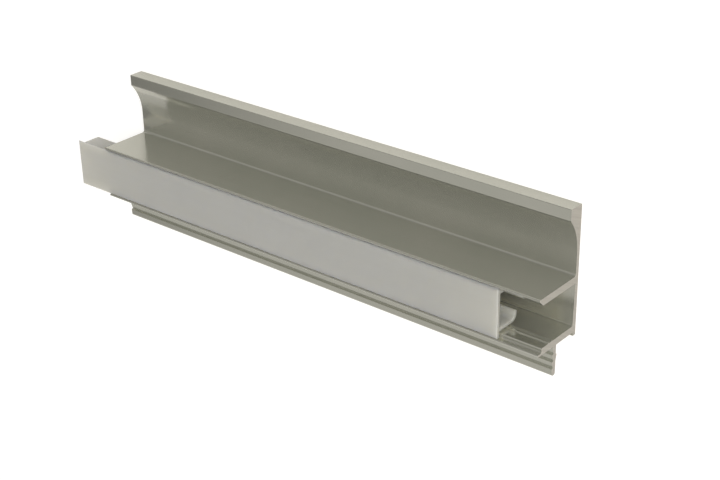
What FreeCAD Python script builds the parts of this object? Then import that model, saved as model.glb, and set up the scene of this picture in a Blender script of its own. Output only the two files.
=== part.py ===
"""Short length of a finger pull profile for a cupboard door or drawer front without a handle.

It is two pieces. The profile is one aluminium extrusion: a tall web with a lip and a hollow for
the fingers, two shelves with a channel for a light strip between them, a foot that hooks behind
the panel and a barbed leg that is pushed into a groove in the panel's edge. The cover is a long
white plastic section that slides into the channel from its end and closes it towards the front.

Sizes are in millimetres. The part lies on the flat back of its web: X runs along the length,
Y runs up the web from foot to lip, and Z comes out of the back towards the front. The origin is
the middle of the back face. Sections are drawn as (depth, height): depth from the back face and
height from the end of the foot.
"""
import FreeCAD, Part
import math
import os

from FreeCAD import Vector

# Profile, along and up
profile_length = 190.0
profile_height = 44.5
web_wall = 1.35

# Lip and the hollow below it
lip_depth = 5.65
lip_front_height = 3.95
grip_radius = 18.0

# Upper shelf
upper_shelf_top = 20.75
upper_shelf_wall = 2.4
upper_shelf_depth = 20.8
tip_nose_height = 0.6
tip_bevel_depth = 1.9

# Lower shelf, with the step that the cover stands in
lower_shelf_top = 3.65
lower_shelf_wall = 2.35
panel_space = 19.15
foot_wall = 1.45
step_lip_length = 1.85
step_lip_wall = 0.75
root_web_wall = 1.75

# Two fine ribs that the cover slides on
rib_from_front = 5.55
rib_pitch = 1.85
rib_width = 0.35
rib_height = 0.4

# Barbed leg
leg_from_foot = 9.25
leg_wall = 1.25
leg_length = 10.5
tooth_count = 4
tooth_pitch = 2.5
tooth_offset = 0.2
tooth_reach = 0.6
tooth_step = 0.3
nose_front = 1.7
nose_back = 1.3
barb_reach = 0.5
barb_rise = 0.4
barb_run = 2.2
barb_down = 3.4
leg_cut_back = 1.9

# Rounded edges of the extrusion
edge_radius = 0.25
lip_radius = 1.0
tip_radius = 0.45
grip_root_radius = 0.9
channel_root_radius = 0.4
step_root_radius = 0.5

# Cover
cover_length = 190.0
cover_slid_out = 15.0
cover_plate_wall = 1.1
cover_leg_wall = 1.0
cover_upper_wall = 0.7
cover_leg_reach = 10.3
cover_upper_reach = 9.4
curl_height = 3.6
curl_radius = 2.4
cover_setback = 0.1
cover_foot_gap = 0.6
cover_bevel_gap = 0.2
running_gap = 0.15
cover_leg_gap = 0.4
cover_edge_radius = 0.3
cover_tip_radius = 0.1

# Heights and depths that follow
lower_shelf_bottom = lower_shelf_top - lower_shelf_wall
upper_shelf_bottom = upper_shelf_top - upper_shelf_wall
front_depth = foot_wall + panel_space
step_depth = front_depth - step_lip_length
step_lip_top = lower_shelf_bottom + step_lip_wall
leg_back = foot_wall + leg_from_foot
leg_front = leg_back + leg_wall
tooth_front = leg_front + tooth_reach
leg_bottom = lower_shelf_bottom - leg_length
rib_top = lower_shelf_top + rib_height
bevel_bottom_depth = upper_shelf_depth - tip_bevel_depth
bevel_top = upper_shelf_top - tip_nose_height
bevel_slope = (upper_shelf_wall - tip_nose_height) / tip_bevel_depth

cover_front = front_depth - cover_setback
cover_back = cover_front - cover_leg_reach
upper_leg_back = cover_front - cover_upper_reach
plate_back = cover_front - cover_plate_wall
plate_foot = step_lip_top + cover_foot_gap
upper_leg_top = upper_shelf_bottom - running_gap
upper_leg_under = upper_leg_top - cover_upper_wall
lower_leg_under = rib_top + cover_leg_gap
lower_leg_top = lower_leg_under + cover_leg_wall
curl_top = lower_leg_under + curl_height


def point(depth, height):
    """Section point, at the middle of the length."""
    return Vector(0, height - profile_height / 2, depth)


def line(start, end):
    """Straight stretch of a section."""
    return Part.LineSegment(point(*start), point(*end)).toShape()


def arc(start, middle, end):
    """Round stretch of a section through three points."""
    return Part.Arc(point(*start), point(*middle), point(*end)).toShape()


def chain(points):
    """Straight stretches from point to point."""
    return [line(start, end) for start, end in zip(points, points[1:])]


def extrude(edges, length, centre):
    """Solid with this closed section, its middle at X = centre."""
    face = Part.Face(Part.Wire(Part.sortEdges(edges)[0]))
    face.translate(Vector(centre - length / 2, 0, 0))
    return face.extrude(Vector(length, 0, 0))


def round_edges(solid, radius, places):
    """Round the lengthwise edges that pass through these section points."""
    edges = []
    for place in places:
        target = point(*place)
        for edge in solid.Edges:
            ends = [vertex.Point for vertex in edge.Vertexes]
            if abs(ends[0].x - ends[-1].x) < 1:
                continue
            if math.hypot(ends[0].y - target.y, ends[0].z - target.z) < 0.001:
                edges.append(edge)
    return solid.makeFillet(radius, edges)


def grip_outline():
    """Lip front, hollow and web front: the hollow is one arc that ends flush with the web."""
    lip_bottom = profile_height - lip_front_height
    rise = grip_radius - (lip_depth - web_wall)
    start = lip_bottom - math.sqrt(grip_radius ** 2 - rise ** 2)
    centre = web_wall + grip_radius
    turn = math.acos(rise / grip_radius) / 2
    middle = (centre - grip_radius * math.cos(turn), start + grip_radius * math.sin(turn))
    outline = chain([(0, profile_height), (lip_depth, profile_height), (lip_depth, lip_bottom)])
    outline.append(arc((lip_depth, lip_bottom), middle, (web_wall, start)))
    outline.append(line((web_wall, start), (web_wall, upper_shelf_top)))
    return outline


def rib_points(depth):
    """One rib on the lower shelf, from its back foot to its front foot."""
    half = rib_width / 2
    return [(depth - half, lower_shelf_top), (depth - half / 2, rib_top),
            (depth + half / 2, rib_top), (depth + half, lower_shelf_top)]


def channel_points():
    """Upper shelf, channel and lower shelf with its ribs, step and lip, down to the leg's front."""
    first_rib = front_depth - rib_from_front - rib_pitch
    return [(web_wall, upper_shelf_top),
            (upper_shelf_depth, upper_shelf_top),
            (upper_shelf_depth, bevel_top),
            (bevel_bottom_depth, upper_shelf_bottom),
            (web_wall, upper_shelf_bottom),
            (root_web_wall, lower_shelf_top),
            *rib_points(first_rib),
            *rib_points(first_rib + rib_pitch),
            (step_depth, lower_shelf_top),
            (step_depth, step_lip_top),
            (front_depth, step_lip_top),
            (front_depth, lower_shelf_bottom),
            (tooth_front, lower_shelf_bottom)]


def tooth_points():
    """Front of the leg, downwards: teeth with a ramp that lets them in and a step that holds."""
    points = [(tooth_front, lower_shelf_bottom)]
    for number in range(1, tooth_count):
        notch = lower_shelf_bottom - tooth_offset - number * tooth_pitch
        points += [(leg_front, notch), (tooth_front, notch - tooth_step)]
    return points


def leg_outline():
    """Barbed leg: toothed front, round nose, and a back with one barb near its top."""
    nose_depth = tooth_front - tooth_reach / 4
    front = [*tooth_points(), (nose_depth, leg_bottom + nose_front)]
    barb_tip = lower_shelf_bottom - barb_down
    back = [(leg_back, leg_bottom + nose_back),
            (leg_back, barb_tip - barb_run),
            (leg_back - barb_reach, barb_tip),
            (leg_back, barb_tip + barb_rise),
            (leg_back, lower_shelf_bottom)]
    nose = arc(front[-1], ((leg_back + nose_depth) / 2, leg_bottom), back[0])
    return chain(front) + [nose] + chain(back)


def leg_end():
    """Block that takes the leg away at the left end, where the sample's leg stops short."""
    block = Part.makeBox(2 * leg_cut_back, lower_shelf_bottom - 2 * leg_bottom, front_depth)
    block.translate(Vector(-profile_length / 2 - leg_cut_back, 0, foot_wall))
    block.translate(point(0, 2 * leg_bottom))
    return block


def profile():
    """The extrusion, with its small edges rounded as a die leaves them."""
    foot = [(leg_back, lower_shelf_bottom), (foot_wall, lower_shelf_bottom), (foot_wall, 0), (0, 0),
            (0, profile_height)]
    outline = grip_outline() + chain(channel_points()) + leg_outline() + chain(foot)
    solid = extrude(outline, profile_length, 0)
    solid = round_edges(solid, lip_radius, [(lip_depth, profile_height - lip_front_height)])
    solid = round_edges(solid, tip_radius, [(upper_shelf_depth, upper_shelf_top)])
    solid = round_edges(solid, grip_root_radius, [(web_wall, upper_shelf_top)])
    solid = round_edges(solid, channel_root_radius, [(root_web_wall, lower_shelf_top)])
    solid = round_edges(solid, step_root_radius, [(step_depth, step_lip_top)])
    solid = round_edges(solid, edge_radius, [(0, profile_height),
                                             (lip_depth, profile_height),
                                             (bevel_bottom_depth, upper_shelf_bottom),
                                             (front_depth, step_lip_top),
                                             (front_depth, lower_shelf_bottom),
                                             (foot_wall, 0),
                                             (0, 0)])
    return solid.cut(leg_end())


def below_bevel(depth):
    """Height of the cover's sloping top at this depth, a gap below the upper shelf's bevel."""
    drop = cover_bevel_gap * math.hypot(1, bevel_slope)
    return upper_shelf_bottom + (depth - bevel_bottom_depth) * bevel_slope - drop


def curl_outline():
    """Lower leg's end, from its upper face round the curl and back to its lower face."""
    turn_depth = cover_back + curl_radius
    turn_height = lower_leg_under + curl_radius
    inner_radius = curl_radius - cover_leg_wall
    inner_depth = cover_back + cover_leg_wall
    diagonal = math.sqrt(0.5)
    inner_middle = (turn_depth - inner_radius * diagonal, turn_height - inner_radius * diagonal)
    outer_middle = (turn_depth - curl_radius * diagonal, turn_height - curl_radius * diagonal)
    inner = arc((turn_depth, lower_leg_top), inner_middle, (inner_depth, turn_height))
    outer = arc((cover_back, turn_height), outer_middle, (turn_depth, lower_leg_under))
    sides = chain([(inner_depth, turn_height), (inner_depth, curl_top), (cover_back, curl_top),
                   (cover_back, turn_height)])
    return [inner, *sides, outer]


def cover():
    """Plastic cover: front plate, a straight upper leg and a lower leg that curls up at its end."""
    plate_top = below_bevel(cover_front)
    upper_turn = cover_front - (plate_top - upper_leg_top) / bevel_slope
    outline = chain([(cover_back + curl_radius, lower_leg_under),
                     (plate_back, lower_leg_under),
                     (plate_back, plate_foot),
                     (cover_front, plate_foot),
                     (cover_front, plate_top),
                     (upper_turn, upper_leg_top),
                     (upper_leg_back, upper_leg_top),
                     (upper_leg_back, upper_leg_under),
                     (plate_back, upper_leg_under),
                     (plate_back, lower_leg_top),
                     (cover_back + curl_radius, lower_leg_top)])
    solid = extrude(outline + curl_outline(), cover_length, -cover_slid_out)
    solid = round_edges(solid, cover_tip_radius, [(cover_front, plate_top)])
    return round_edges(solid, cover_edge_radius, [(cover_front, plate_foot),
                                                  (upper_leg_back, upper_leg_top),
                                                  (upper_leg_back, upper_leg_under),
                                                  (cover_back, curl_top),
                                                  (cover_back + cover_leg_wall, curl_top),
                                                  (plate_back, upper_leg_under),
                                                  (plate_back, lower_leg_top)])


def main():
    """Write one STEP file for each piece."""
    os.makedirs("parts", exist_ok=True)
    for name, solid in (("profile", profile()), ("light_cover", cover())):
        solid.exportStep(f"parts/{name}.step")
        print(name, "valid", solid.isValid(), "volume", round(solid.Volume), "mm3")


main()
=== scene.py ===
# %% [markdown]
# # A finger pull profile and its light cover
#
# The object is a short length of anodised aluminium extrusion. It goes along the top of a cupboard
# front, and the fingers pull behind its lip. A white plastic cover has been slid a little way out of
# the channel that would hold a light strip.
#
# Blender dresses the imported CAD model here. The model is loaded first and never moved, and every new
# piece is built in its frame: X runs along the length, Y up the web from foot to lip, and Z out of the
# flat back, which lies on the floor. All lengths are in metres.

# %% Load the frame
import math

import bpy
import numpy as np
from mathutils import Matrix, Vector


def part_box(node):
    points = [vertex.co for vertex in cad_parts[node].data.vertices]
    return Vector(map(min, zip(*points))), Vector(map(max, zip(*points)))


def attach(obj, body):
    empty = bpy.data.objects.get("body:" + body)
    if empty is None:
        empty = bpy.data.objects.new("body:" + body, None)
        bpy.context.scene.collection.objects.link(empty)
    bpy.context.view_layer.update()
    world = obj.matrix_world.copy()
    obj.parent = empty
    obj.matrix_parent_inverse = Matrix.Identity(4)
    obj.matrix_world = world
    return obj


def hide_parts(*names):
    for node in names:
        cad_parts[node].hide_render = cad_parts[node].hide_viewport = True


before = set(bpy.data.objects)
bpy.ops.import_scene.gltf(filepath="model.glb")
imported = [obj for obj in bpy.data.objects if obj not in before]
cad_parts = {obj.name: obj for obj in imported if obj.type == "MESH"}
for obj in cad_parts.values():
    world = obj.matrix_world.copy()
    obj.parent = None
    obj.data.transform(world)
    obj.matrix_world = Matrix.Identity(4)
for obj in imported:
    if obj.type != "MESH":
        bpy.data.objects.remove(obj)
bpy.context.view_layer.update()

mm = 0.001
profile_low, profile_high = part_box("profile")
cover_low, cover_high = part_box("light_cover")
print("profile box", [round(v / mm, 2) for v in (*profile_low, *profile_high)], "mm")
print("cover box", [round(v / mm, 2) for v in (*cover_low, *cover_high)], "mm")

# %% [markdown]
# ## The camera
#
# A photograph fixes its camera once the long edges and a cut end are matched. This one looks at the
# upright web from the right and somewhat above, through a long lens. It could be turned by hand until
# the edges agree, or aimed with a Track To constraint. Here it is aimed by its own three axes, because
# the photograph leans by about one degree, and that roll is one more turn about the line of sight.

# %% Camera
camera_place = Vector((0.2980, 0.2061, 0.3426))
camera_aim = Vector((0.0090, -0.0159, 0.0))
camera_roll = math.radians(-1.05)
focal_length, sensor_width, nearest = 73.55, 36, 0.01

camera = bpy.data.objects.new("camera", bpy.data.cameras.new("camera"))
bpy.context.scene.collection.objects.link(camera)
sight = (camera_place - camera_aim).normalized()
side = Vector((0, 1, 0)).cross(sight).normalized()
axes = Matrix((side, sight.cross(side), sight)).transposed()
turned = axes @ Matrix.Rotation(camera_roll, 3, "Z")
camera.matrix_world = Matrix.LocRotScale(camera_place, turned, None)
camera.data.lens = focal_length
camera.data.sensor_width = sensor_width
camera.data.clip_start = nearest
bpy.context.scene.camera = camera
print("camera is", round((camera_place - camera_aim).length, 3), "m from the place it looks at")

# %% [markdown]
# ## Rounded outlines
#
# No edge of an extrusion is quite sharp: the die leaves a small radius in every corner, and that radius
# is what catches the light. A Bevel modifier could add it, but here one formula makes the whole outline.
# Each corner is given as depth, height and radius, and becomes an arc. The angle that places a point on
# its arc is also the direction in which the surface faces there, so exact normals come for free, and
# the long flat faces stay flat in their reflections.

# %% Outline formula
arc_steps = 12


def rounded_outline(corners):
    """Points and outward normals of a closed outline whose corners are arcs.

    At a corner where the outline turns by the angle t, the outward normal swings evenly from that of
    the side before to that of the side after. The centre of the arc lies on the line that halves the
    corner, at radius / cos(t / 2) from it, and a point is centre + radius * normal on an outer corner
    and centre - radius * normal on an inner one. Corners run clockwise as seen with depth to the right.
    """
    corners = np.array(corners, float)[::-1]
    place, radius = corners[:, :2], corners[:, 2]
    ahead = np.roll(place, -1, axis=0) - place
    ahead /= np.linalg.norm(ahead, axis=1)[:, None]
    behind = np.roll(ahead, 1, axis=0)
    turn = np.arctan2(behind[:, 0] * ahead[:, 1] - behind[:, 1] * ahead[:, 0], (behind * ahead).sum(1))
    first = np.arctan2(-behind[:, 0], behind[:, 1])
    half = first + turn / 2
    reach = np.sign(turn) * radius
    to_middle = np.stack([np.cos(half), np.sin(half)], 1)
    centre = place - (reach / np.cos(turn / 2))[:, None] * to_middle
    angle = first[:, None] + turn[:, None] * np.linspace(0, 1, arc_steps)
    normals = np.stack([np.cos(angle), np.sin(angle)], 2)
    points = centre[:, None] + reach[:, None, None] * normals
    return points.reshape(-1, 2), normals.reshape(-1, 2)


def outline_area(points):
    """Area inside an outline: half the sum of the cross products of neighbouring points."""
    after = np.roll(points, -1, axis=0)
    return (points[:, 0] * after[:, 1] - points[:, 1] * after[:, 0]).sum() / 2


square = [(0, 0, 1), (0, 10, 1), (10, 10, 1), (10, 0, 1)]
square_area = outline_area(rounded_outline(square)[0])
print("a 10 by 10 square with corners of radius 1 has area", round(square_area, 2))

# %% [markdown]
# ## Stations along a bar
#
# An extrusion is one outline carried along a straight path. Extrude or the Curve bevel would make the
# same bar. Here it is a grid with two parameters, the station along the bar and the place on the
# outline. A saw breaks the edge that it leaves, so at the very ends the outline is drawn in by a hair.

# %% Stations
saw_edge = 0.05 * mm
station_pitch = 6 * mm


def stations_along(low_x, high_x):
    """X of each station, and how far the outline is drawn in there.

    Whole outlines stand at an even pitch from saw_edge inside one end to saw_edge inside the other. One
    more at each very end is drawn in by saw_edge.
    """
    whole_count = max(2, round((high_x - low_x) / station_pitch))
    whole = np.linspace(low_x + saw_edge, high_x - saw_edge, whole_count)
    stations = np.concatenate([[low_x], whole, [high_x]])
    inset = np.zeros(len(stations))
    inset[[0, -1]] = saw_edge
    return stations, inset


print(len(stations_along(profile_low.x, profile_high.x)[0]), "stations along the extrusion")

# %% [markdown]
# ## Faces of a bar
#
# The sides are quads between neighbouring stations, and each end is one flat face. Where part of the
# section stops short of the low end, its vertices start later. Its cut face is then apart from the
# other, and one more quad closes the step between them. Cutting the bar with a Boolean would give the
# same step, but it would leave stray points on the long flat faces.

# %% Faces


def bar_faces(station_count, count, short):
    """Faces as vertex numbers: quads along the sides, the quad of a step, and the flat cut ends.

    Vertex number = station * count + place. Side quad (j, i) joins places i and i + 1 at stations j and
    j + 1. The places that are marked short have a cut end of their own at the low end.
    """
    band, place = np.meshgrid(np.arange(station_count - 1), np.arange(count), indexing="ij")
    after = (place + 1) % count
    quads = np.stack([band * count + place, (band + 1) * count + place,
                      (band + 1) * count + after, band * count + after], 2).reshape(-1, 4)
    around = np.arange(count)
    cuts = [around[~short], (station_count * count - 1) - around]
    steps = []
    if short.any():
        first, last = around[short][[0, -1]]
        cuts.append(around[short])
        steps.append(np.array([first - 1, first, last, last + 1]))
    return quads, steps, cuts


print(len(bar_faces(3, 4, np.zeros(4, bool))[0]), "side faces on a bar with 3 stations and 4 places")

# %% [markdown]
# ## Normals of a bar
#
# The outline's formula knows where the surface faces, so each corner of each face can be told. Shade
# Auto Smooth would guess it from the faces instead, and on long thin faces its guess is uneven, which
# shows in the reflections of a satin metal.

# %% Normals


def bar_normals(normals, station_count, steps, cuts):
    """Normal at each corner of each face, in the order of the faces.

    A side takes the outline's own normals. In the two drawn-in bands they lean halfway out of the end.
    The quad of a step faces away from the lip, and the cut ends face along X.
    """
    place = np.arange(len(normals))
    after = np.roll(place, -1)
    outward = np.stack([np.zeros(len(normals)), normals[:, 1], normals[:, 0]], 1)
    sides = np.repeat(outward[np.stack([place, place, after, after], 1)][None], station_count - 1, axis=0)
    sides[0, ..., 0], sides[-1, ..., 0] = -1, 1
    sides /= np.linalg.norm(sides, axis=-1, keepdims=True)
    flat = [(0, -1, 0)] * 4 * len(steps)
    for cut, towards in zip(cuts, (-1, 1, -1)):
        flat += [(towards, 0, 0)] * len(cut)
    return np.concatenate([sides.reshape(-1, 3), np.array(flat, float)])


# %% [markdown]
# ## From outline to bar
#
# One function now makes the mesh of either piece. The cut ends and their broken edges get the second
# material, because sawn stock looks rougher than the skin that the die leaves. They could be picked by
# hand in Edit Mode, but the faces are numbered in a known order, so their numbers say which they are.

# %% Bar from an outline


def bar(name, corners, low_x, high_x, short_by=0.0, short_corners=slice(0)):
    """Closed bar along X, from the corners of its outline.

    Vertex (station j, place i) = (x_j, height_i - inset_j * normal_i, depth_i - inset_j * normal_i). The
    first two stations of the short corners are short_by further on.
    """
    points, normals = rounded_outline(corners)
    count = len(points)
    short = np.zeros(len(corners), bool)
    short[short_corners] = True
    short = np.repeat(short[::-1], arc_steps)
    stations, inset = stations_along(low_x, high_x)
    drawn_in = points[None] - inset[:, None, None] * normals[None]
    grid = np.empty((len(stations), count, 3))
    grid[..., 0] = stations[:, None]
    grid[:2, short, 0] += short_by
    grid[..., 1] = drawn_in[..., 1]
    grid[..., 2] = drawn_in[..., 0]

    quads, steps, cuts = bar_faces(len(stations), count, short)
    mesh = bpy.data.meshes.new(name)
    mesh.from_pydata(grid.reshape(-1, 3).tolist(), [], [face.tolist() for face in [*quads, *steps, *cuts]])
    sawn = np.zeros(len(mesh.polygons), np.int32)
    sawn[:count] = 1
    sawn[len(quads) - count:len(quads)] = 1
    sawn[-len(cuts):] = 1
    mesh.polygons.foreach_set("material_index", sawn)
    mesh.polygons.foreach_set("use_smooth", np.ones(len(mesh.polygons), bool))
    mesh.normals_split_custom_set(bar_normals(normals, len(stations), steps, cuts))
    mesh.validate()

    piece = bpy.data.objects.new(name, mesh)
    bpy.context.scene.collection.objects.link(piece)
    volume = outline_area(points) * (high_x - low_x)
    print(name, len(mesh.polygons), "faces,", round(volume / mm ** 3), "mm3")
    return piece


# %% [markdown]
# ## The extrusion
#
# This is the section that the die gives the aluminium. From the top it has the lip, the hollow that the
# fingertips reach into, the upper shelf with a bevelled tip, the channel, the lower shelf with two fine
# ribs and a stepped lip, and under it the toothed leg that is pushed into a groove in the panel. It
# could be traced over a drawing, but named sizes are easier to read and to change, and the overall ones
# come from the CAD frame. Depths are measured from the flat back, and heights from the end of the foot,
# which lies half the height below the frame's origin. Three radii round all the plain corners.

# %% Sizes of the extrusion
half_height = profile_high.y
top = 2 * half_height
web_wall, foot_wall, panel_space = 1.35 * mm, 1.45 * mm, 19.15 * mm
shelf_top, shelf_wall = 20.75 * mm, 2.4 * mm
low_shelf_top, low_shelf_wall = 3.65 * mm, 2.35 * mm
soft, small, crisp = 0.25 * mm, 0.12 * mm, 0.08 * mm

front = foot_wall + panel_space
shelf_under = shelf_top - shelf_wall
low_shelf_under = low_shelf_top - low_shelf_wall
channel_height = shelf_under - low_shelf_top
print("extrusion", round(top / mm, 2), "mm high, channel", round(channel_height / mm, 2), "mm high")

# %% [markdown]
# ## Lip and hollow
#
# The fingers pull behind the lip, so the hollow under it is one large easy curve that starts flush with
# the web. A curve drawn by hand would do, but a radius can be read and changed. So the arc is simply a
# corner with a large radius. The corner itself lies inside the metal, where the tangents at the arc's
# two ends meet.

# %% Lip and hollow
lip_depth, lip_front, lip_round = 5.65 * mm, 3.95 * mm, 1.0 * mm
grip_radius, grip_root = 18 * mm, 0.9 * mm


def lip_and_hollow():
    """Corners of the top, the lip and the hollow.

    The arc leaves the web upright, and reaches the lip's depth when cos(turn) = 1 - depth gained /
    radius. It starts radius * sin(turn) below the lip. The tangents meet radius * tan(turn / 2) above that.
    """
    lip_under = top - lip_front
    turn = math.acos(1 - (lip_depth - web_wall) / grip_radius)
    start = lip_under - grip_radius * math.sin(turn)
    meeting = start + grip_radius * math.tan(turn / 2)
    return [(0, top, soft), (lip_depth, top, soft), (lip_depth, lip_under, lip_round),
            (web_wall, meeting, grip_radius), (web_wall, shelf_top, grip_root)]


print("lip and hollow:", len(lip_and_hollow()), "corners")

# %% [markdown]
# ## Shelves and channel
#
# The channel holds a light strip behind the cover. The upper shelf's tip is bevelled underneath, and
# the cover's plate leans its top edge there. On the lower shelf the cover runs over two fine ribs, and
# its plate stands in the step. A rib could be a mesh of its own, but the die makes it in one piece with
# the shelf, so it is four more corners in the outline.

# %% Shelves and channel
shelf_tip = profile_high.z
tip_height, tip_round, bevel_depth = 0.6 * mm, 0.45 * mm, 1.9 * mm
root_wall, channel_root = 1.75 * mm, 0.4 * mm
rib_from_front, rib_pitch, rib_width, rib_height = 5.55 * mm, 1.85 * mm, 0.35 * mm, 0.4 * mm
step_length, step_wall, step_root, step_round = 1.85 * mm, 0.75 * mm, 0.5 * mm, 0.36 * mm
step_top = low_shelf_under + step_wall


def rib(depth):
    """Corners of one fine rib, half as wide at its top as at its foot."""
    half = rib_width / 2
    rib_top = low_shelf_top + rib_height
    return [(depth - half, low_shelf_top, crisp), (depth - half / 2, rib_top, crisp),
            (depth + half / 2, rib_top, crisp), (depth + half, low_shelf_top, crisp)]


def channel():
    """Corners of the upper shelf, the channel, the lower shelf, the step and its lip."""
    outer_rib = front - rib_from_front
    return [(shelf_tip, shelf_top, tip_round),
            (shelf_tip, shelf_top - tip_height, crisp),
            (shelf_tip - bevel_depth, shelf_under, soft),
            (web_wall, shelf_under, small),
            (root_wall, low_shelf_top, channel_root),
            *rib(outer_rib - rib_pitch), *rib(outer_rib),
            (front - step_length, low_shelf_top, small),
            (front - step_length, step_top, step_root),
            (front, step_top, step_round),
            (front, low_shelf_under, step_round)]


print("shelves and channel:", len(channel()), "corners")

# %% [markdown]
# ## The toothed leg
#
# The leg is pushed into a groove in the panel's edge and stays there by its teeth. Each tooth has a
# steep step above and a long ramp below, so it goes in easily and holds. At the back there is one barb.
# An Array modifier could repeat one tooth, but the outline has to stay one closed line. So one
# comprehension lists the teeth, which stand at an even pitch.

# %% Toothed leg
leg_from_foot, leg_wall, leg_cut_back = 9.25 * mm, 1.25 * mm, 1.9 * mm
notch_count, tooth_pitch, tooth_offset = 3, 2.5 * mm, 0.2 * mm
tooth_reach, tooth_step = 0.6 * mm, 0.3 * mm
leg_end, leg_end_round, leg_end_taper = profile_low.y + half_height, 0.8 * mm, 0.15 * mm
barb_reach, barb_down, barb_run, barb_rise = 0.5 * mm, 3.4 * mm, 2.2 * mm, 0.4 * mm


def leg():
    """Corners of the leg: teeth in front, a round end and one barb at the back."""
    back = foot_wall + leg_from_foot
    core = back + leg_wall
    tooth = core + tooth_reach
    notches = [low_shelf_under - tooth_offset - number * tooth_pitch
               for number in range(1, notch_count + 1)]
    teeth = [corner for notch in notches
             for corner in ((core, notch, crisp), (tooth, notch - tooth_step, crisp))]
    barb = low_shelf_under - barb_down
    return [(tooth, low_shelf_under, small), *teeth,
            (tooth - leg_end_taper, leg_end, leg_end_round), (back, leg_end, leg_end_round),
            (back, barb - barb_run, small), (back - barb_reach, barb, small),
            (back, barb + barb_rise, small), (back, low_shelf_under, small)]


print("leg", round((low_shelf_under - leg_end) / mm, 2), "mm long with", notch_count + 1, "teeth")

# %% [markdown]
# ## The whole section
#
# The corners run on from one part of the section to the next, and the foot that hooks behind the panel
# closes the outline. Bars made one by one could be joined, but a seam would show where they meet. On
# the real piece the leg was cut back a little at the left end, so its corners are the ones that start
# late.

# %% Extrusion


def from_origin(corners):
    """The same corners, with their heights measured from the frame's origin."""
    return np.array(corners) - (0, half_height, 0)


foot = [(foot_wall, low_shelf_under, small), (foot_wall, 0, soft), (0, 0, soft)]
above_leg = lip_and_hollow() + channel()
leg_corners = slice(len(above_leg), len(above_leg) + len(leg()))
section = from_origin(above_leg + leg() + foot)
profile = bar("pull_profile", section, profile_low.x, profile_high.x,
              short_by=leg_cut_back, short_corners=leg_corners)
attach(profile, "profile")
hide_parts("profile")

# %% [markdown]
# ## The cover
#
# The cover is extruded too, from milky plastic. Its front plate stands in the step of the lower shelf,
# one thin leg runs in under the upper shelf, and a second leg runs over the two ribs and curls up at
# its end to hold the cover in. A bent strip with a Solidify modifier would come near, but the walls
# aren't all equally thick. So the same outline formula makes it, with larger radii, because soft
# plastic comes out of its die rounder than metal does.
#
# The CAD model leaves 0.6 mm under the plate and 0.2 mm above it, so that the cover slides freely. The
# photograph shows little more than two thin seams there, so here both gaps are narrower.

# %% Sizes of the cover
plate_wall, upper_wall, lower_wall = 1.1 * mm, 0.7 * mm, 1.0 * mm
upper_reach, curl_radius, curl_height = 9.4 * mm, 2.4 * mm, 3.6 * mm
foot_gap, seam_gap, running_gap, rib_gap = 0.15 * mm, 0.02 * mm, 0.15 * mm, 0.4 * mm
round_edge, sharp_edge = 0.3 * mm, 0.03 * mm

plate_front, curl_back = cover_high.z, cover_low.z
plate_back = plate_front - plate_wall
plate_foot = step_top + foot_gap
bevel_slope = (shelf_wall - tip_height) / bevel_depth
bevel_height = shelf_under + (plate_front - shelf_tip + bevel_depth) * bevel_slope
plate_top = bevel_height - seam_gap * math.hypot(1, bevel_slope)
upper_end = plate_front - upper_reach
upper_top = shelf_under - running_gap
upper_under = upper_top - upper_wall
upper_turn = plate_front - (plate_top - upper_top) / bevel_slope
lower_under = low_shelf_top + rib_height + rib_gap
lower_top = lower_under + lower_wall
curl_front = curl_back + lower_wall
curl_top = lower_under + curl_height
print("plate", round((plate_top - plate_foot) / mm, 2), "mm high")

# %% [markdown]
# ## Section of the cover
#
# The corners go once round, from the end of the upper leg over the plate to the curl and back. Both
# sides of the curl are arcs about one middle, so its wall keeps the same thickness.

# %% Cover
cover_section = from_origin([
    (upper_end, upper_top, round_edge),
    (upper_turn, upper_top, small),
    (plate_front, plate_top, sharp_edge),
    (plate_front, plate_foot, round_edge),
    (plate_back, plate_foot, small),
    (plate_back, lower_under, small),
    (curl_back, lower_under, curl_radius),
    (curl_back, curl_top, round_edge),
    (curl_front, curl_top, round_edge),
    (curl_front, lower_top, curl_radius - lower_wall),
    (plate_back, lower_top, round_edge),
    (plate_back, upper_under, round_edge),
    (upper_end, upper_under, round_edge)])
cover = bar("opal_cover", cover_section, cover_low.x, cover_high.x)
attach(cover, "cover")
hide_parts("light_cover")

# %% [markdown]
# ## Node helpers
#
# A procedural material is a small program of nodes. Placing each node by hand in the Shader Editor
# shows it best, but in a script a few short helpers keep it readable. One fills a node's sockets by
# name, one adds a node, and one does a sum.

# %% Node helpers


def fill(tree, node, **sockets):
    """Set sockets by name, or by number as _0 or _1. An output given as a value is linked."""
    for name, value in sockets.items():
        key = int(name[1:]) if name[1:].isdigit() else name.replace("_", " ")
        if isinstance(value, bpy.types.NodeSocket):
            tree.links.new(value, node.inputs[key])
        else:
            node.inputs[key].default_value = value
    return node


def add(tree, kind, settings=None, **sockets):
    """Add a node with these settings and fill its sockets."""
    node = tree.nodes.new("ShaderNode" + kind)
    for name, value in (settings or {}).items():
        setattr(node, name, value)
    return fill(tree, node, **sockets)


def math_node(tree, operation, a, b):
    """Result of one sum on two values or sockets."""
    return add(tree, "Math", {"operation": operation}, _0=a, _1=b).outputs[0]


# %% [markdown]
# ## Node groups
#
# Metal and plastic share some effects, such as the lines of a die. The same nodes could be copied into
# each material, but a node group is built once, and each material then uses it with its own values.

# %% Node groups


def group(name, inputs, outputs):
    """Start a node group, with float inputs that have these values and these float outputs."""
    tree = bpy.data.node_groups.new(name, "ShaderNodeTree")
    for socket, value in inputs.items():
        made = tree.interface.new_socket(socket, in_out="INPUT", socket_type="NodeSocketFloat")
        made.default_value = value
    for socket in outputs:
        tree.interface.new_socket(socket, in_out="OUTPUT", socket_type="NodeSocketFloat")
    return tree, tree.nodes.new("NodeGroupInput"), tree.nodes.new("NodeGroupOutput")


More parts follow.
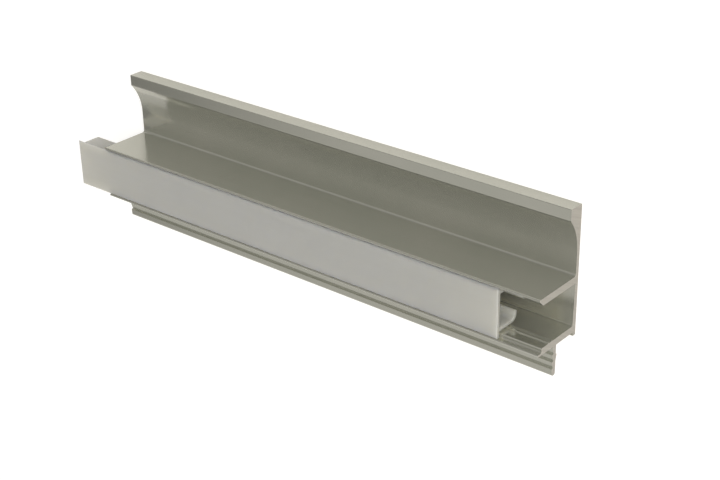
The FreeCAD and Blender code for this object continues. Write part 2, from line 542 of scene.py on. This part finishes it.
def use(tree, which, **values):
    """Place a node group in a material with its own values."""
    return add(tree, "Group", {"node_tree": which}, **values)


# %% [markdown]
# ## Lines from the die
#
# Everything extruded carries faint lines along its length, where the die has dragged on it. They are
# the same on metal and plastic, only finer or softer, so they are one node group. A noise texture that
# is stretched far along X gives them: a fine noise for the lines and a broad one for the slow bands
# that make a long reflection waver.

# %% Group: die lines
die_lines, given, result = group(
    "die lines", {"Lines per metre": 3000.0, "Bands per metre": 220.0, "Length": 0.03}, ["Lines", "Bands"])
position = add(die_lines, "TexCoord").outputs["Object"]
for across, target in (("Lines per metre", "Lines"), ("Bands per metre", "Bands")):
    along = math_node(die_lines, "MULTIPLY", given.outputs[across], given.outputs["Length"])
    stretch = add(die_lines, "CombineXYZ", X=along, Y=given.outputs[across], Z=given.outputs[across])
    spread = add(die_lines, "VectorMath", {"operation": "MULTIPLY"}, _0=position, _1=stretch.outputs[0])
    noise = add(die_lines, "TexNoise", Vector=spread.outputs[0], Scale=1.0, Detail=2.0, Roughness=0.55)
    die_lines.links.new(noise.outputs["Fac"], result.inputs[target])
print("group", die_lines.name, "with", len(die_lines.nodes), "nodes")

# %% [markdown]
# ## Marks of the saw
#
# A circular saw leaves shallow arcs on a cut end, all about the middle of its blade. A Wave texture
# draws rings too, but evenly. The distance from the blade's middle, fed into a noise, draws them as
# unevenly as a saw does.

# %% Group: saw marks
blade_middle = Vector((0.0, -0.11, 0.06))
across_blade = (0, 1, 1)
saw_marks, given, result = group("saw marks", {"Marks per metre": 1600.0}, ["Marks"])
from_blade = add(saw_marks, "VectorMath", {"operation": "SUBTRACT"},
                 _0=add(saw_marks, "TexCoord").outputs["Object"], _1=blade_middle)
flat = add(saw_marks, "VectorMath", {"operation": "MULTIPLY"}, _0=from_blade.outputs[0], _1=across_blade)
distance = add(saw_marks, "VectorMath", {"operation": "LENGTH"}, _0=flat.outputs[0])
ring = math_node(saw_marks, "MULTIPLY", distance.outputs["Value"], given.outputs["Marks per metre"])
noise = add(saw_marks, "TexNoise", {"noise_dimensions": "1D"}, W=ring, Scale=1.0, Detail=3.0)
saw_marks.links.new(noise.outputs["Fac"], result.inputs["Marks"])
print("group", saw_marks.name, "with", len(saw_marks.nodes), "nodes")

# %% [markdown]
# ## Specks
#
# A sample that has been handled is never spotless: tiny pits sit in the metal, and dust lies on the
# plastic. Particles could be scattered on it, but specks this small have no height to see. A Voronoi
# texture makes cells, each cell's own random colour decides whether it has a speck, and the distance
# from the cell's middle draws it.

# %% Group: specks
specks, given, result = group("specks", {"Cells per metre": 160.0, "Share": 0.1, "Size": 0.09}, ["Mask"])
cells = add(specks, "TexVoronoi", Vector=add(specks, "TexCoord").outputs["Object"],
            Scale=given.outputs["Cells per metre"])
chosen = add(specks, "SeparateColor", Color=cells.outputs["Color"]).outputs["Red"]
has_one = math_node(specks, "LESS_THAN", chosen, given.outputs["Share"])
spot = add(specks, "MapRange", {"interpolation_type": "SMOOTHSTEP"}, Value=cells.outputs["Distance"],
           From_Min=given.outputs["Size"], From_Max=0.0)
specks.links.new(math_node(specks, "MULTIPLY", spot.outputs[0], has_one), result.inputs["Mask"])
print("group", specks.name, "with", len(specks.nodes), "nodes")

# %% [markdown]
# ## Material helpers
#
# The materials below share a few steps: a colour between two colours, a noise brought out to a range,
# a speckled colour, and a slight unevenness. Each step is one function. A Color Ramp and its stops
# would do for the first two, but plain Mix and Map Range nodes have their ends in named sockets.

# %% Material helpers
noise_low, noise_high = 0.3, 0.7


def material(name):
    """Empty material with a Principled BSDF."""
    made = bpy.data.materials.new(name)
    made.use_nodes = True
    return made, made.node_tree, made.node_tree.nodes["Principled BSDF"]


def mix_colour(tree, factor, first, second):
    """Colour from the first to the second, by a factor. Either may be a socket.

    In a Mix node, inputs 6 and 7 and output 2 are the ones for colours.
    """
    first, second = [value if isinstance(value, bpy.types.NodeSocket) else (*value, 1)
                     for value in (first, second)]
    return add(tree, "Mix", {"data_type": "RGBA"}, Factor=factor, _6=first, _7=second).outputs[2]


def spread_value(tree, value, low, high):
    """Bring a noise, which stays near one half, out to the range from low to high."""
    return add(tree, "MapRange", Value=value, From_Min=noise_low, From_Max=noise_high,
               To_Min=low, To_Max=high).outputs[0]


def speckled(tree, colour, speck_colour, **values):
    """The same colour, with specks of another one in it."""
    return mix_colour(tree, use(tree, specks, **values).outputs["Mask"], colour, speck_colour)


def bump(tree, height, depth):
    """Normal tilted by a height texture whose full swing is this deep."""
    return add(tree, "Bump", Height=height, Distance=depth).outputs["Normal"]


# %% [markdown]
# ## Anodised aluminium
#
# Natural anodising is a clear, slightly milky film on etched metal. It reflects like a satin mirror:
# edges next to each other show clearly, things further off blur. A clear coat over bare metal would be
# one way. Here one Principled BSDF does it, about three quarters metallic, in a warm grey that is
# darker than bare aluminium. The lines vary its roughness, the bands tilt its normal by very little,
# slow clouds and bands vary its tone, and a few tiny pits are darker.

# %% Material: anodised aluminium
cloud_share, band_share = 0.6, 0.4
grey_dark, grey_light = (0.538, 0.548, 0.484), (0.600, 0.598, 0.536)
pit_colour = (0.22, 0.21, 0.18)

anodised, tree, shader = material("anodised aluminium")
lines = use(tree, die_lines)
clouds = add(tree, "TexNoise", Vector=add(tree, "TexCoord").outputs["Object"], Scale=38.0, Detail=4.0)
tone = math_node(tree, "ADD", math_node(tree, "MULTIPLY", clouds.outputs["Fac"], cloud_share),
                 math_node(tree, "MULTIPLY", lines.outputs["Bands"], band_share))
skin = mix_colour(tree, spread_value(tree, tone, low=0, high=1), grey_dark, grey_light)
fill(tree, shader,
     Base_Color=speckled(tree, skin, pit_colour, Share=0.07),
     Roughness=spread_value(tree, lines.outputs["Lines"], low=0.14, high=0.19),
     Normal=bump(tree, lines.outputs["Bands"], depth=0.004 * mm),
     Metallic=0.76)
print("material", anodised.name, "with", len(tree.nodes), "nodes")

# %% [markdown]
# ## Sawn aluminium
#
# The cut ends have lost the film. They look pale, because the saw has roughened them and they scatter
# the lamp's light instead of mirroring the room. So their colour is written darker than the skin's and
# a little pinker, and their highlight is broad, uneven across the arcs of the saw. The skin with more
# roughness would do from afar, but one of these ends faces the camera.

# %% Material: sawn aluminium
sawn_dark, sawn_light = (0.34, 0.324, 0.29), (0.41, 0.391, 0.352)

sawn_metal, tree, shader = material("sawn aluminium")
marks = use(tree, saw_marks).outputs["Marks"]
fill(tree, shader,
     Base_Color=mix_colour(tree, spread_value(tree, marks, low=0, high=1), sawn_dark, sawn_light),
     Roughness=spread_value(tree, marks, low=0.38, high=0.5),
     Normal=bump(tree, marks, depth=0.02 * mm),
     Metallic=0.6)
profile.data.materials.append(anodised)
profile.data.materials.append(sawn_metal)
print("material", sawn_metal.name, "with", len(tree.nodes), "nodes")

# %% [markdown]
# ## Milky plastic
#
# The cover hides the dots of a light strip, so light has to wander inside it. A plain white with some
# transmission would look like frosted glass. Subsurface scattering looks right: where the cover stands
# free, light from behind leaks through, and it looks brighter than over the dark channel. A small
# share of transmission lets a little light straight through. The surface is a dull satin with the
# softest of die lines. The cut ends are the same plastic, but rougher, and their colour is written
# much darker as painted shade. The lamp on the right shines straight at them, and at the true colour
# they would come out paler than the plastic around them.

# %% Material: opal plastic
dust_colour = (0.30, 0.28, 0.25)


def opal(name, dark, light, low_rough, high_rough):
    """Milky plastic between two tones, from one roughness to another."""
    made, tree, shader = material(name)
    lines = use(tree, die_lines, Lines_per_metre=1500.0, Bands_per_metre=120.0)
    clean = mix_colour(tree, spread_value(tree, lines.outputs["Bands"], low=0, high=1), dark, light)
    fill(tree, shader,
         Base_Color=speckled(tree, clean, dust_colour, Share=0.05, Size=0.06),
         Roughness=spread_value(tree, lines.outputs["Lines"], low_rough, high_rough),
         Normal=bump(tree, lines.outputs["Bands"], depth=0.01 * mm),
         IOR=1.49, Transmission_Weight=0.1, Subsurface_Weight=1.0,
         Subsurface_Radius=(1.0, 0.95, 0.8), Subsurface_Scale=6.0 * mm)
    print("material", name, "with", len(tree.nodes), "nodes")
    return made


cover.data.materials.append(opal("opal plastic", dark=(0.635, 0.625, 0.562), light=(0.66, 0.65, 0.586),
                                 low_rough=0.36, high_rough=0.46))
# The cut ends' tones are painted shade: written darker so that the ends facing the lamp look no paler than
# the rest of the cover.
cover.data.materials.append(opal("sawn plastic with painted shade", dark=(0.35, 0.342, 0.31), light=(0.39, 0.381, 0.346),
                                 low_rough=0.5, high_rough=0.6))

# %% [markdown]
# ## The floor
#
# The part lies unheld on a level floor. A Plane from the Add menu would do, scaled up until its edges
# are far out of the picture. Its four corners in a list say the same. It lies a hair below the part's
# flat back, because two faces in exactly the same place flicker.

# %% Floor
floor_size, floor_drop = 3.0, 0.05 * mm
half = floor_size / 2
floor_mesh = bpy.data.meshes.new("floor")
floor_mesh.from_pydata([(-half, -half, -floor_drop), (half, -half, -floor_drop),
                        (half, half, -floor_drop), (-half, half, -floor_drop)], [], [(0, 1, 2, 3)])
floor = bpy.data.objects.new("floor", floor_mesh)
bpy.context.scene.collection.objects.link(floor)
print("floor", floor_size, "m wide,", round(floor_drop / mm, 2), "mm below the part")

# %% [markdown]
# ## White paper
#
# The photograph is a cut-out on white, so the floor has to look white and still show a breath of
# shadow. A compositor could do that, but the material can do it alone. The Light Path node tells rays
# that see the floor, from the camera or in a mirror, from light on its way to a surface. Seen
# directly, the floor glows by itself and takes the shadow on top. In reflections it glows less, and
# for light that falls on the part it is plain pale paper.

# %% Material: white paper
paper_colour, glow_colour = (0.8, 0.79, 0.77, 1), (1, 0.985, 0.96, 1)
mirrored_glow, seen_glow = 0.25, 0.85
mirrored_paper, seen_paper = (0.8, 0.78, 0.75), (0.35, 0.35, 0.35)


def seen_directly(tree):
    """1 for rays that come from the camera, a mirror or clear material, and 0 for light on a surface."""
    path = add(tree, "LightPath")
    mirror = math_node(tree, "MAXIMUM", path.outputs["Is Glossy Ray"], path.outputs["Is Transmission Ray"])
    return math_node(tree, "MAXIMUM", path.outputs["Is Camera Ray"], mirror)


paper, tree, shader = material("white paper")
fill(tree, shader, Base_Color=paper_colour, Roughness=1.0, Specular_IOR_Level=0.0)
camera_ray = add(tree, "LightPath").outputs["Is Camera Ray"]
strength = add(tree, "Mix", {"data_type": "FLOAT"}, Factor=camera_ray, A=mirrored_glow, B=seen_glow)
glow = add(tree, "Emission", Color=glow_colour, Strength=strength.outputs[0])
shade = add(tree, "BsdfDiffuse", Color=mix_colour(tree, camera_ray, mirrored_paper, seen_paper))
white = add(tree, "AddShader", _0=glow.outputs[0], _1=shade.outputs[0])
both = add(tree, "MixShader", _0=seen_directly(tree), _1=shader.outputs[0], _2=white.outputs[0])
fill(tree, tree.nodes["Material Output"], Surface=both.outputs[0])
floor.data.materials.append(paper)
print("material", paper.name, "with", len(tree.nodes), "nodes")

# %% [markdown]
# ## The room
#
# Metal shows what is around it, so the world is a room and not one flat white. It could be a picture
# on a sphere. Here its brightness is a formula of the direction: a level that is higher on the foot's
# side than on the lip's, a wide glow on the right, and a darker patch on the left that shades the far
# end of the lip. The camera alone sees more than white in every channel, so the background is pure
# white.

# %% World
room_colour, white_strength = (1, 0.975, 0.93, 1), 1.1
room_level, rise_towards_lip = 0.42, -0.22
lobes = [((0.97, 0.05, 0.25), -0.2, 0.8),
         ((-0.85, -0.25, 0.45), 0.92, -0.48)]

world = bpy.data.worlds.new("studio")
bpy.context.scene.world = world
world.use_nodes = True
tree = world.node_tree
direction = add(tree, "TexCoord").outputs["Generated"]


def lobe(towards, edge, amount):
    """Light or shade that rises smoothly from nothing at this cosine to this amount in its middle."""
    middle = Vector(towards).normalized()
    cosine = add(tree, "VectorMath", {"operation": "DOT_PRODUCT"}, _0=direction, _1=middle)
    rise = add(tree, "MapRange", {"interpolation_type": "SMOOTHSTEP"}, Value=cosine.outputs["Value"],
               From_Min=edge, From_Max=1.0, To_Max=amount)
    return rise.outputs[0]


lipward = add(tree, "SeparateXYZ", Vector=direction).outputs["Y"]
room = math_node(tree, "ADD", math_node(tree, "MULTIPLY", lipward, rise_towards_lip), room_level)
for towards, edge, amount in lobes:
    room = math_node(tree, "ADD", room, lobe(towards, edge, amount))
camera_ray = add(tree, "LightPath").outputs["Is Camera Ray"]
strength = add(tree, "Mix", {"data_type": "FLOAT"}, Factor=camera_ray, A=room, B=white_strength)
fill(tree, tree.nodes["Background"], Strength=strength.outputs[0], Color=room_colour)
print("world", world.name, "with", len(tree.nodes), "nodes")

# %% [markdown]
# ## The lamp
#
# One large disk far off on the right lights the cut ends and the cover, and gives the part its soft
# shadow. A sun lamp would light it as evenly, but a disk in the room can be moved until its mirror
# image falls beside the lip and not on it.

# %% Lamp
lamp_place, lamp_aim = Vector((1.6, 0.58, 0.67)), Vector((0.05, 0, 0))
lamp_size, lamp_power = 0.8, 15.0

lamp = bpy.data.objects.new("lamp", bpy.data.lights.new("lamp", "AREA"))
bpy.context.scene.collection.objects.link(lamp)
lamp.data.shape = "DISK"
lamp.data.size = lamp_size
lamp.data.energy = lamp_power
lamp.location = lamp_place
lamp.rotation_euler = (lamp_place - lamp_aim).to_track_quat("Z", "Y").to_euler()
bpy.context.scene.view_settings.view_transform = "Standard"
print("lamp is", round((lamp_place - lamp_aim).length, 2), "m away")
